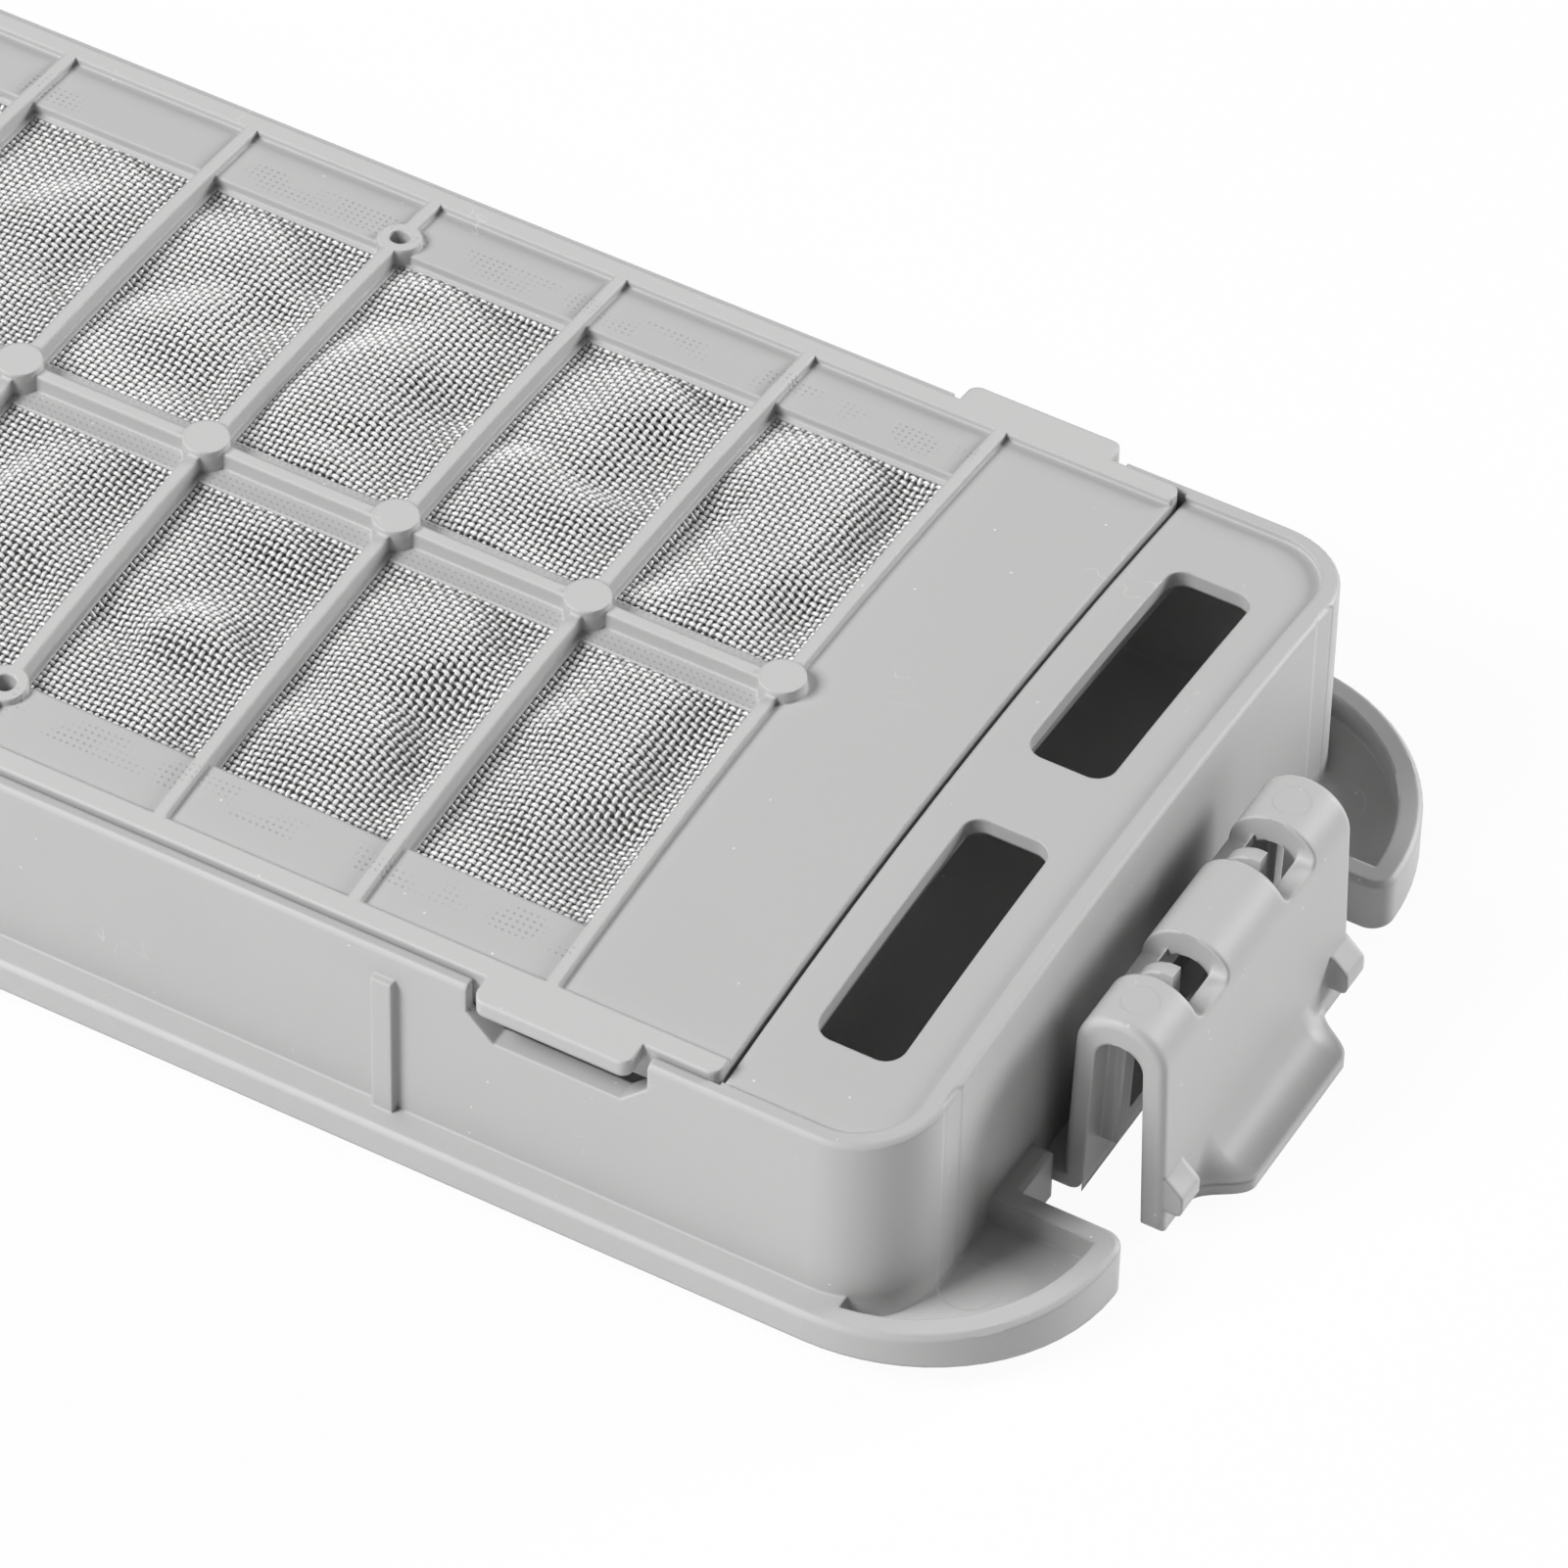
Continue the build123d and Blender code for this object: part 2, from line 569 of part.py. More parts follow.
def finger_lip():
    """The lip at the foot of the pressed leg, curling outwards for a finger."""
    return side_profile(lip_section(1), LIP_TIP_HALF) + lip_cheek(1) + lip_cheek(-1)


def latch():
    """The outer half of the clip, which a finger presses inwards."""
    moving = Pos(CROWN_X + REACH / 2, 0, 0) * Box(REACH, REACH, REACH)
    leg = clip() & moving
    leg -= prism(area(CROWN_X, PLATE_END, -LIP_HALF_WIDTH, LIP_HALF_WIDTH), -SKY, LIP_TOP)
    return leg + finger_lip() + teeth()


def casing():
    """The one-piece casing with face plate, lint space, deck, notches and the latch's fixed half."""
    body = case_walls() + face_plate() + locating_tongues() + grip_ribs()
    body -= case_hollow()
    body -= deck_cuts()
    body -= finger_notches()
    body -= hinge_cuts()
    return body + latch_root()


nodes = {
    "casing": casing(),
    "latch": latch(),
    "lid_frame": lid_frame(),
    "filter_mesh": filter_mesh(),
}
lip_tip = max(nodes["latch"].vertices(), key=lambda v: v.X).X
centring = Pos(-(TONGUE_END + lip_tip) / 2, 0, 0)
os.makedirs("parts", exist_ok=True)
for name, solid in nodes.items():
    export_step(centring * solid, f"parts/{name}.step")
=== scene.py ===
import logging
import math
from dataclasses import dataclass, field
from enum import Enum
from functools import partial
from typing import Any

import bpy
from mathutils import Matrix, Vector


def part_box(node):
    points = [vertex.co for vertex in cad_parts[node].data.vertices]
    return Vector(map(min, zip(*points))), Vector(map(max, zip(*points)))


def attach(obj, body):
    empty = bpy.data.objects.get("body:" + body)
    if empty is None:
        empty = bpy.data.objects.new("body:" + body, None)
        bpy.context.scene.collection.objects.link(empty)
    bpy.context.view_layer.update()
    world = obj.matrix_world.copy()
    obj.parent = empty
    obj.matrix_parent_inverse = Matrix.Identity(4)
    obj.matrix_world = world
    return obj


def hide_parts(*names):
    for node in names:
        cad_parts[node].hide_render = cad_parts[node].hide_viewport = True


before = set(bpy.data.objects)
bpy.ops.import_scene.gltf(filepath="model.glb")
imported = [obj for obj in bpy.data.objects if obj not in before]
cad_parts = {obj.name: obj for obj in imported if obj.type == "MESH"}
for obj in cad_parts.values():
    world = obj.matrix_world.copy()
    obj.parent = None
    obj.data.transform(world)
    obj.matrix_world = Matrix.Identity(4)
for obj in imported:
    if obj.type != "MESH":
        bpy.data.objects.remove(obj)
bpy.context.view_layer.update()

LOG = logging.getLogger("filter_cartridge")
MM = 0.001
MM_PER_METRE = 1000.0
# In millimetres: where the latch meets the casing, the radius of the crowned back, and the weave
LATCH_SEAM = 101.531
ARCH_RADIUS = 375.0
THREAD_PITCH = 0.745
WHITE = (1.0, 1.0, 1.0, 1.0)
RISE_ATTRIBUTE = "rise"
Value = Any
Colour = tuple[float, float, float]


class Side(Enum):
    """The two long sides of the cartridge, as the photograph shows them."""

    NEAR = -1
    FAR = 1


class Sock:
    """A node socket that can stand in Python sums."""

    def __init__(self, graph: "Graph", socket: bpy.types.NodeSocket) -> None:
        """Keeps the socket and the graph it belongs to."""
        self.graph = graph
        self.socket = socket

    def __add__(self, other: Value) -> "Sock":
        """Sum."""
        return self.graph.math("ADD", self, other)

    def __radd__(self, other: Value) -> "Sock":
        """Sum, number first."""
        return self.graph.math("ADD", other, self)

    def __sub__(self, other: Value) -> "Sock":
        """Difference."""
        return self.graph.math("SUBTRACT", self, other)

    def __rsub__(self, other: Value) -> "Sock":
        """Difference, number first."""
        return self.graph.math("SUBTRACT", other, self)

    def __mul__(self, other: Value) -> "Sock":
        """Product."""
        return self.graph.math("MULTIPLY", self, other)

    def __truediv__(self, other: Value) -> "Sock":
        """Quotient."""
        return self.graph.math("DIVIDE", self, other)

    def __pow__(self, other: Value) -> "Sock":
        """Power."""
        return self.graph.math("POWER", self, other)

    def __neg__(self) -> "Sock":
        """The value with its sign turned."""
        return self.graph.math("MULTIPLY", self, -1.0)


class Graph:
    """A node tree that is written as expressions."""

    def __init__(self, tree: bpy.types.NodeTree) -> None:
        """Keeps the tree."""
        self.tree = tree

    def put(self, socket: bpy.types.NodeSocket, value: Value) -> None:
        """Gives an input socket a link or a plain value.

        Args:
            socket: The input.
            value: A Sock to link, or a number, tuple or data block to set.
        """
        if isinstance(value, Sock):
            self.tree.links.new(value.socket, socket)
        else:
            socket.default_value = value

    def node(self, kind: str, settings: dict[str, Value] | None = None, **inputs: Value) -> bpy.types.Node:
        """Adds a node.

        Args:
            kind: The node's type name.
            settings: Properties that are set before its sockets.
            inputs: Values or links by socket name with underscores for blanks, or by i and a number.

        Returns:
            The node.
        """
        made = self.tree.nodes.new(kind)
        for name, value in (settings or {}).items():
            setattr(made, name, value)
        for name, value in inputs.items():
            key = int(name[1:]) if name[0] == "i" and name[1:].isdigit() else name.replace("_", " ")
            self.put(made.inputs[key], value)
        return made

    def out(self, made: bpy.types.Node, key: Value = 0) -> Sock:
        """An output of a node as a socket for sums."""
        return Sock(self, made.outputs[key])

    def math(self, operation: str, *values: Value) -> Sock:
        """A Math node on sockets and numbers."""
        made = self.tree.nodes.new("ShaderNodeMath")
        made.operation = operation
        for socket, value in zip(made.inputs, values):
            self.put(socket, value)
        return self.out(made)

    def smooth(self, value: Sock, low: float, high: float) -> Sock:
        """A soft step from 0 at low to 1 at high.

        Args:
            value: The value that is stepped.
            low: Where the step starts.
            high: Where the step ends.

        Returns:
            The step, from 0 to 1.
        """
        settings = {"interpolation_type": "SMOOTHSTEP"}
        return self.out(self.node("ShaderNodeMapRange", settings, i0=value, i1=low, i2=high))

    def band(self, value: Sock, limits: tuple[float, float], fade: float) -> Sock:
        """A soft band.

        Args:
            value: The value that runs across the band.
            limits: Where the band starts and ends.
            fade: How far each edge fades inwards.

        Returns:
            1 in the band and 0 outside it.
        """
        low, high = limits
        return self.smooth(value, low, low + fade) * (1.0 - self.smooth(value, high - fade, high))

    def clamp(self, value: Sock) -> Sock:
        """A value held between 0 and 1."""
        return self.math("MINIMUM", self.math("MAXIMUM", value, 0.0), 1.0)

    def axes(self, vector: Sock) -> tuple[Sock, Sock, Sock]:
        """The X, Y and Z of a vector."""
        made = self.node("ShaderNodeSeparateXYZ", i0=vector)
        return self.out(made, 0), self.out(made, 1), self.out(made, 2)

    def vector(self, x: Value, y: Value, z: Value) -> Sock:
        """A vector from three values."""
        return self.out(self.node("ShaderNodeCombineXYZ", i0=x, i1=y, i2=z))

    def noise(self, vector: Sock, scale: float, detail: float = 2.0, rough: float = 0.5) -> Sock:
        """Smooth noise about 0.5 on a vector."""
        made = self.node("ShaderNodeTexNoise", Vector=vector, Scale=scale, Detail=detail, Roughness=rough)
        return self.out(made, "Fac")


def new_material(name: str) -> tuple[bpy.types.Material, Graph, bpy.types.Node]:
    """A material with an empty Principled shader.

    Args:
        name: The material's name.

    Returns:
        The material, its graph and its shader node.
    """
    made = bpy.data.materials.new(name)
    made.use_nodes = True
    graph = Graph(made.node_tree)
    shader = next(n for n in made.node_tree.nodes if n.type == "BSDF_PRINCIPLED")
    return made, graph, shader


def grey_mix(graph: Graph, factor: Sock, base: Value, other: Colour) -> Sock:
    """A colour mixed towards another.

    Args:
        graph: The material's graph.
        factor: How much of the other colour shows.
        base: The colour underneath, as a socket or numbers.
        other: The colour that is mixed in.

    Returns:
        The mixed colour.
    """
    made = graph.node("ShaderNodeMix", {"data_type": "RGBA", "clamp_factor": True})
    graph.put(made.inputs[0], factor)
    graph.put(made.inputs[6], base if isinstance(base, Sock) else (*base, 1.0))
    graph.put(made.inputs[7], (*other, 1.0))
    return graph.out(made, 2)


def laid_flat(side: Sock, z: Sock) -> Sock:
    """A place's height with the crowned back laid flat.

    Args:
        side: The place's distance from the long axis in millimetres.
        z: The place's height in millimetres.

    Returns:
        The height in millimetres.
    """
    return z + side * side / (2.0 * ARCH_RADIUS)


@dataclass(frozen=True)
class EjectorMark:
    """A shallow round mark that the mould's ejector pin leaves, in millimetres of the frame."""

    x: float
    y: float
    radius: float
    fade: float = 0.2

    def step(self, graph: Graph, x: Sock, y: Sock) -> Sock:
        """How far a place is outside the mark, from 0 inside to 1 outside.

        Args:
            graph: The material's graph.
            x: The place's X in millimetres.
            y: The place's distance from the long axis in millimetres.

        Returns:
            The step at the mark's edge.
        """
        across = (x - self.x) ** 2.0 + (y - self.y) ** 2.0
        return graph.smooth(graph.math("SQRT", across), self.radius - self.fade, self.radius + self.fade)


@dataclass(frozen=True)
class SatinPlastic:
    """Light grey moulded plastic with a satin skin, softened edges, dust specks, fine scuffs, a painted
    highlight along its edges and, where a level is given, painted light on its raised tops.

    The edge radius is in metres. Heights, depths, levels and fades along a length are in millimetres.
    """

    name: str
    tint: Colour = (0.505, 0.505, 0.503)
    shade: Colour = (0.43, 0.43, 0.43)
    # Pale grey for the dust specks and scuffs, and for the painted highlight along the edges
    dust_and_highlight_tint: Colour = (0.80, 0.80, 0.80)
    # Paler grey for the painted light on the raised tops above the given level
    top_light_tint: Colour = (0.67, 0.67, 0.662)
    pit: Colour = (0.22, 0.22, 0.22)
    roughness: float = 0.48
    gloss_drift: float = 0.12
    gloss_grain: float = 0.08
    refraction: float = 1.46
    cloud_scale: float = 45.0
    cloud_limits: tuple[float, float] = (0.35, 0.75)
    cloud_share: float = 0.12
    grain_scale: float = 2600.0
    grain_height: float = 0.004
    edge_radius: float = 0.5 * MM
    edge_turn: tuple[float, float] = (0.80, 0.99)
    # How strongly the painted edge highlight shows
    edge_highlight: float = 0.22
    seam_fade: tuple[float, float] = (0.7, 1.1)
    mark_height: float = 0.10
    dot_depth: float = 0.05
    dot_share: float = 0.4
    # How far the painted top light fades in, and how strongly it shows
    top_light_fade: float = 0.35
    top_light_share: float = 0.3
    speck_scale: float = 450.0
    speck_size: tuple[float, float] = (0.03, 0.09)
    speck_pick: tuple[float, float] = (0.66, 0.74)
    speck_share: float = 0.8
    scuff_scale: float = 260.0
    scuff_width: tuple[float, float] = (0.002, 0.008)
    scuff_share: float = 0.3
    patch_scale: float = 75.0
    patch_limits: tuple[float, float] = (0.66, 0.72)
    marks: tuple[EjectorMark, ...] = ()
    imprint: "MeshImprint | None" = None
    top_light_level: float | None = None

    def material(self) -> bpy.types.Material:
        """The finish as a material on Object coordinates.

        Returns:
            The material.
        """
        made, graph, shader = new_material(self.name)
        place = graph.out(graph.node("ShaderNodeTexCoord"), "Object")
        cloud = graph.noise(place, self.cloud_scale, 3.0)
        grain = graph.noise(place, self.grain_scale, 2.0)
        x, y, z = (axis * MM_PER_METRE for axis in graph.axes(place))
        side = graph.math("ABSOLUTE", y)
        height = grain * self.grain_height
        for mark in self.marks:
            height = height + mark.step(graph, x, side) * self.mark_height
        dull = graph.smooth(cloud, *self.cloud_limits) * self.cloud_share
        colour = grey_mix(graph, dull, self.tint, self.shade)
        if self.imprint:
            dots = self.imprint.dots(graph, x, side, z)
            height = height - dots * self.dot_depth
            colour = grey_mix(graph, dots * self.dot_share, colour, self.pit)
        # Painted light: places above the given level, the tops of the lid's ribs, are mixed towards a paler
        # grey, as if lit more than their sides
        if self.top_light_level:
            high = graph.smooth(laid_flat(side, z), self.top_light_level, self.top_light_level + self.top_light_fade)
            colour = grey_mix(graph, high * self.top_light_share, colour, self.top_light_tint)
        soft, edge = self.softened(graph, x)
        # The pale grey is mixed in for the dust specks and scuffs, and along the rounded edges as a painted
        # highlight
        dust_and_highlight = self.specks(graph, place) + self.scuffs(graph, place) + edge * self.edge_highlight
        graph.put(shader.inputs["Base Color"], grey_mix(graph, dust_and_highlight, colour, self.dust_and_highlight_tint))
        rough = self.roughness + (cloud - 0.5) * self.gloss_drift + (grain - 0.5) * self.gloss_grain
        graph.put(shader.inputs["Roughness"], rough)
        bump = graph.node("ShaderNodeBump", Strength=1.0, Distance=MM, Height=height, Normal=soft)
        graph.put(shader.inputs["Normal"], graph.out(bump))
        shader.inputs["IOR"].default_value = self.refraction
        return made

    def softened(self, graph: Graph, x: Sock) -> tuple[Sock, Sock]:
        """Rounded edges, left plain at the line where the latch meets the casing.

        Args:
            graph: The material's graph.
            x: The place's X in millimetres.

        Returns:
            The normal, and how near a place is to an edge, from 0 to 1.
        """
        rounded = graph.out(graph.node("ShaderNodeBevel", {"samples": 8}, Radius=self.edge_radius))
        plain = graph.out(graph.node("ShaderNodeNewGeometry"), "Normal")
        away = graph.smooth(graph.math("ABSOLUTE", x - LATCH_SEAM), *self.seam_fade)
        blend = graph.node("ShaderNodeMix", {"data_type": "VECTOR"})
        for number, value in ((0, away), (4, plain), (5, rounded)):
            graph.put(blend.inputs[number], value)
        soft = graph.out(blend, 1)
        along = graph.node("ShaderNodeVectorMath", {"operation": "DOT_PRODUCT"}, i0=soft, i1=plain)
        return soft, 1.0 - graph.smooth(graph.out(along, "Value"), *self.edge_turn)

    def specks(self, graph: Graph, place: Sock) -> Sock:
        """Scattered dust specks.

        Args:
            graph: The material's graph.
            place: Object coordinates.

        Returns:
            How much dust shows, from 0 to 1.
        """
        cells = graph.node("ShaderNodeTexVoronoi", Vector=place, Scale=self.speck_scale)
        pick = graph.axes(graph.out(cells, "Color"))[0]
        dot = 1.0 - graph.smooth(graph.out(cells, "Distance"), *self.speck_size)
        return dot * graph.smooth(pick, *self.speck_pick) * self.speck_share

    def scuffs(self, graph: Graph, place: Sock) -> Sock:
        """Short pale hairlines in a few patches.

        Args:
            graph: The material's graph.
            place: Object coordinates.

        Returns:
            How much the hairlines show, from 0 to 1.
        """
        line = graph.math("ABSOLUTE", graph.noise(place, self.scuff_scale, 1.0) - 0.5)
        patch = graph.smooth(graph.noise(place, self.patch_scale, 1.0), *self.patch_limits)
        return (1.0 - graph.smooth(line, *self.scuff_width)) * patch * self.scuff_share


@dataclass(frozen=True)
class MeshImprint:
    """Rows of dots that the woven mesh leaves in the plastic moulded round it, in millimetres."""

    pitch: float
    ledge_level: float
    ledge_side: tuple[float, float]
    strip_side: tuple[float, float]
    along: tuple[float, float]
    ledge_top: tuple[float, float] = (0.1, 0.3)
    ledge_fade: float = 0.2
    ledge_share: float = 0.6
    strip_fade: float = 0.4
    wear_scale: float = 0.16
    wear_limits: tuple[float, float] = (0.48, 0.62)
    dot_size: tuple[float, float] = (0.5, 0.85)

    def dots(self, graph: Graph, x: Sock, side: Sock, z: Sock) -> Sock:
        """Where the dots show.

        Args:
            graph: The material's graph.
            x: The place's X.
            side: The place's distance from the long axis.
            z: The place's height.

        Returns:
            How strong the dots are, from 0 to 1.
        """
        turn = 2.0 * math.pi / self.pitch
        rows = graph.math("COSINE", x * turn) * 0.5 + 0.5
        lines = graph.math("COSINE", side * turn) * 0.5 + 0.5
        top_from, top_to = (self.ledge_level + rise for rise in self.ledge_top)
        low = 1.0 - graph.smooth(laid_flat(side, z), top_from, top_to)
        ledge = low * graph.band(side, self.ledge_side, self.ledge_fade)
        strip = graph.band(side, self.strip_side, self.strip_fade)
        strip = strip * graph.band(x, self.along, self.strip_fade)
        worn = graph.smooth(graph.noise(graph.vector(x, side, z), self.wear_scale, 1.0), *self.wear_limits)
        return graph.smooth(rows * lines, *self.dot_size) * (ledge * self.ledge_share + strip * worn)


@dataclass(frozen=True)
class NylonThread:
    """Round nylon thread with a painted highlight at its crossings and painted shade on the slopes between
    them.
    """

    name: str = "nylon_thread"
    # Pale colour for the painted highlight on the crossings, dark colour for the painted shade on the
    # slopes
    tint: Colour = (0.86, 0.86, 0.855)
    shade: Colour = (0.21, 0.21, 0.21)
    roughness: float = 0.26
    gloss_drift: float = 0.12
    refraction: float = 1.5
    cloud_scale: float = 160.0
    crossing_rise: float = 0.95
    crossing_share: float = 0.85
    crossing_drift: float = 0.3

    def material(self) -> bpy.types.Material:
        """The finish as a material on Object coordinates.

        Returns:
            The material.
        """
        made, graph, shader = new_material(self.name)
        place = graph.out(graph.node("ShaderNodeTexCoord"), "Object")
        cloud = graph.noise(place, self.cloud_scale, 2.0)
        stored = graph.node("ShaderNodeAttribute", {"attribute_name": RISE_ATTRIBUTE})
        rise = graph.math("ABSOLUTE", graph.out(stored, "Fac"))
        # Painted highlight and shade: the thread is pale where it crests over a crossing and dark down the
        # slopes between, by the stored rise
        crossing = graph.smooth(rise, 0.0, self.crossing_rise)
        painted_shade = 1.0 - crossing * (self.crossing_share + cloud * self.crossing_drift)
        graph.put(shader.inputs["Base Color"], grey_mix(graph, painted_shade, self.tint, self.shade))
        graph.put(shader.inputs["Roughness"], self.roughness + (cloud - 0.5) * self.gloss_drift)
        shader.inputs["IOR"].default_value = self.refraction
        return made


@dataclass
class MouldedPiece:
    """A moulded CAD node, shown with its finish."""

    node: str
    finish: SatinPlastic

    def dress(self) -> bpy.types.Object:
        """Puts the finish on the node.

        Returns:
            The node's object.
        """
        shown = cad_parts[self.node]
        shown.data.materials.clear()
        shown.data.materials.append(self.finish.material())
        return shown


@dataclass(frozen=True)
class LidGrid:
    """The lid's two rows of mesh windows, in metres, placed by the frame's mesh node."""

    middle_x: float
    level: float
    columns: int = 6
    arch_radius: float = ARCH_RADIUS * MM
    cell_pitch: float = 22.0 * MM
    cell_ledge: float = 1.15 * MM
    inner_y: float = 3.35 * MM
    outer_y: float = 35.5 * MM

    @classmethod
    def from_frame(cls) -> "LidGrid":
        """The grid round the CAD mesh, level with the middle of its sheet.

        Returns:
            The grid.
        """
        half_sheet = 0.25 * MM
        low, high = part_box("filter_mesh")
        return cls(middle_x=(low.x + high.x) / 2, level=high.z - half_sheet)

    def cell_start(self, column: int) -> float:
        """Where a column of windows starts along X."""
        return self.middle_x + (column - self.columns / 2) * self.cell_pitch


@dataclass
class WovenWindow:
    """The woven mesh in one window of the lid, held by the lid frame."""

    side: Side
    column: int
    grid: LidGrid
    thread_pitch: float = THREAD_PITCH * MM
    thread_radius: float = 0.226 * MM
    wave_height: float = 0.172 * MM
    fold_height: float = 1.4 * MM
    crumple_height: float = 3.4 * MM
    headroom: float = 1.5 * MM
    along: int = 28
    across: int = 45
    samples: int = 4
    facets: int = 5
    drift_scale: float = 70.0
    crumple_scale: float = 85.0
    crumple_twist: float = 0.6
    sway_scale: float = 140.0
    sway_share: float = 0.5
    tree_name: str = "woven_window"

    def sizes(self) -> dict[str, Value]:
        """The tree's named inputs.

        Returns:
            Each input's value by its name.
        """
        length = self.along * self.thread_pitch
        width = self.across * self.thread_pitch
        start = self.grid.cell_start(self.column)
        middle_y = self.side.value * (self.grid.inner_y + self.grid.outer_y) / 2
        return {
            "Thread Pitch": self.thread_pitch,
            "Thread Radius": self.thread_radius,
            "Wave Height": self.wave_height,
            "Fold Height": self.fold_height,
            "Crumple Height": self.crumple_height,
            "Headroom": self.headroom,
            "First X": start + self.grid.cell_pitch / 2 - length / 2,
            "First Y": middle_y - width / 2,
            "Pitches Along": self.along,
            "Pitches Across": self.across,
            "Samples": self.samples,
            "Facets": self.facets,
            "Open From X": start + self.grid.cell_ledge,
            "Open Length": self.grid.cell_pitch - 2 * self.grid.cell_ledge,
            "Open From Y": self.grid.inner_y,
            "Open Width": self.grid.outer_y - self.grid.inner_y,
            "Level": self.grid.level,
            "Arch Radius": self.grid.arch_radius,
            "Seed": 7 * self.column + 40 * self.side.value + 60,
        }

    def threads(self, graph: Graph, group: bpy.types.Node, lengthwise: bool) -> Sock:
        """One of the two sets of threads, as curves that wave over and under the other set.

        Args:
            graph: The tree's graph.
            group: The tree's input node.
            lengthwise: True for the threads along X.

        Returns:
            The threads' geometry.
        """
        get = partial(graph.out, group)
        pitch = get("Thread Pitch")
        own, other = "Pitches Along", "Pitches Across"
        if not lengthwise:
            own, other = other, own
        run = get(own) * pitch
        step = graph.vector(0.0, pitch, 0.0) if lengthwise else graph.vector(pitch, 0.0, 0.0)
        end = graph.vector(run, 0.0, 0.0) if lengthwise else graph.vector(0.0, run, 0.0)
        start = graph.vector(get("First X"), get("First Y"), 0.0)
        row = graph.node("GeometryNodeMeshLine", Count=get(other) + 1, Start_Location=start, Offset=step)
        line = graph.node("GeometryNodeCurvePrimitiveLine", End=end)
        count = get(own) * get("Samples") + 1
        fine = graph.node("GeometryNodeResampleCurve", Curve=graph.out(line), Count=count)
        spread = graph.node("GeometryNodeInstanceOnPoints", Points=graph.out(row), Instance=graph.out(fine))
        real = graph.node("GeometryNodeRealizeInstances", i0=graph.out(spread))
        x, y, _ = graph.axes(graph.out(graph.node("GeometryNodeInputPosition")))
        phase = (x - get("First X") + y - get("First Y")) / pitch * math.pi
        rise = graph.math("COSINE", phase) if lengthwise else -graph.math("COSINE", phase)
        # The rise is stored so that the thread's material can paint a highlight on the crests and shade on
        # the slopes
        named = graph.node(
            "GeometryNodeStoreNamedAttribute", Geometry=graph.out(real), Name=RISE_ATTRIBUTE, Value=rise
        )
        lift = graph.vector(0.0, 0.0, rise * get("Wave Height"))
        moved = graph.node("GeometryNodeSetPosition", Geometry=graph.out(named), Offset=lift)
        return graph.out(moved)

    def slack(self, graph: Graph, group: bpy.types.Node) -> Sock:
        """How the loose mesh rises along the window and then drops into a fold beside the next rib.

        Args:
            graph: The tree's graph.
            group: The tree's input node.

        Returns:
            The height at a thread's place.
        """
        get = partial(graph.out, group)
        seeded = {"noise_dimensions": "4D"}
        place = graph.out(graph.node("GeometryNodeInputPosition"))
        x, y, _ = graph.axes(place)
        u = graph.clamp((x - get("Open From X")) / get("Open Length"))
        v = graph.clamp((graph.math("ABSOLUTE", y) - get("Open From Y")) / get("Open Width"))
        luck = graph.node("ShaderNodeTexWhiteNoise", {"noise_dimensions": "1D"}, W=get("Seed") * 1.0)
        first, second, _ = graph.axes(graph.out(luck, "Color"))
        drift = graph.node(
            "ShaderNodeTexNoise",
            seeded,
            Vector=place,
            W=get("Seed") * 3.7,
            Scale=self.drift_scale,
            Detail=1.0,
        )
        lean = first * 0.5 + 1.35 + (graph.out(drift) - 0.5) * 1.1
        wave = graph.math("SINE", u ** lean * (2.0 * math.pi))
        hold = graph.math("SINE", v * math.pi) ** 0.5
        fold = wave * hold * (second * 0.4 + 0.75) * get("Fold Height")
        crumple = graph.node(
            "ShaderNodeTexNoise",
            seeded,
            Vector=place,
            W=get("Seed") * 5.3,
            Scale=self.crumple_scale,
            Detail=0.0,
            Distortion=self.crumple_twist,
        )
        inside = (u * (1.0 - u) * v * (1.0 - v) * 16.0) ** 0.5
        height = fold + (graph.out(crumple) - 0.5) * inside * get("Crumple Height") * 2.0
        return graph.math("SMOOTH_MIN", height, get("Headroom"), get("Headroom") * 0.6)

    def tree(self) -> bpy.types.NodeTree:
        """The node tree that weaves a window.

        Returns:
            The tree, made once and shared by all windows.
        """
        if self.tree_name in bpy.data.node_groups:
            return bpy.data.node_groups[self.tree_name]
        tree = bpy.data.node_groups.new(self.tree_name, "GeometryNodeTree")
        for name, value in self.sizes().items():
            kind = "NodeSocketInt" if isinstance(value, int) else "NodeSocketFloat"
            tree.interface.new_socket(name, in_out="INPUT", socket_type=kind)
        tree.interface.new_socket("Thread", in_out="INPUT", socket_type="NodeSocketMaterial")
        tree.interface.new_socket("Mesh", in_out="OUTPUT", socket_type="NodeSocketGeometry")
        graph = Graph(tree)
        group = tree.nodes.new("NodeGroupInput")
        get = partial(graph.out, group)
        join = tree.nodes.new("GeometryNodeJoinGeometry")
        for lengthwise in (False, True):
            graph.put(join.inputs[0], self.threads(graph, group, lengthwise))
        place = graph.out(graph.node("GeometryNodeInputPosition"))
        _, y, _ = graph.axes(place)
        arch = graph.math("SQRT", get("Arch Radius") * get("Arch Radius") - y * y) - get("Arch Radius")
        lift = get("Level") + arch + self.slack(graph, group)
        sway = graph.node("ShaderNodeTexNoise", Vector=place, Scale=self.sway_scale)
        sway_x, sway_y, _ = graph.axes(graph.out(sway, 1))
        pitch = get("Thread Pitch")
        shift_x, shift_y = ((value - 0.5) * pitch * self.sway_share for value in (sway_x, sway_y))
        shift = graph.vector(shift_x, shift_y, lift)
        laid = graph.node("GeometryNodeSetPosition", Geometry=graph.out(join), Offset=shift)
        ring = graph.node(
            "GeometryNodeCurvePrimitiveCircle", Resolution=get("Facets"), Radius=get("Thread Radius")
        )
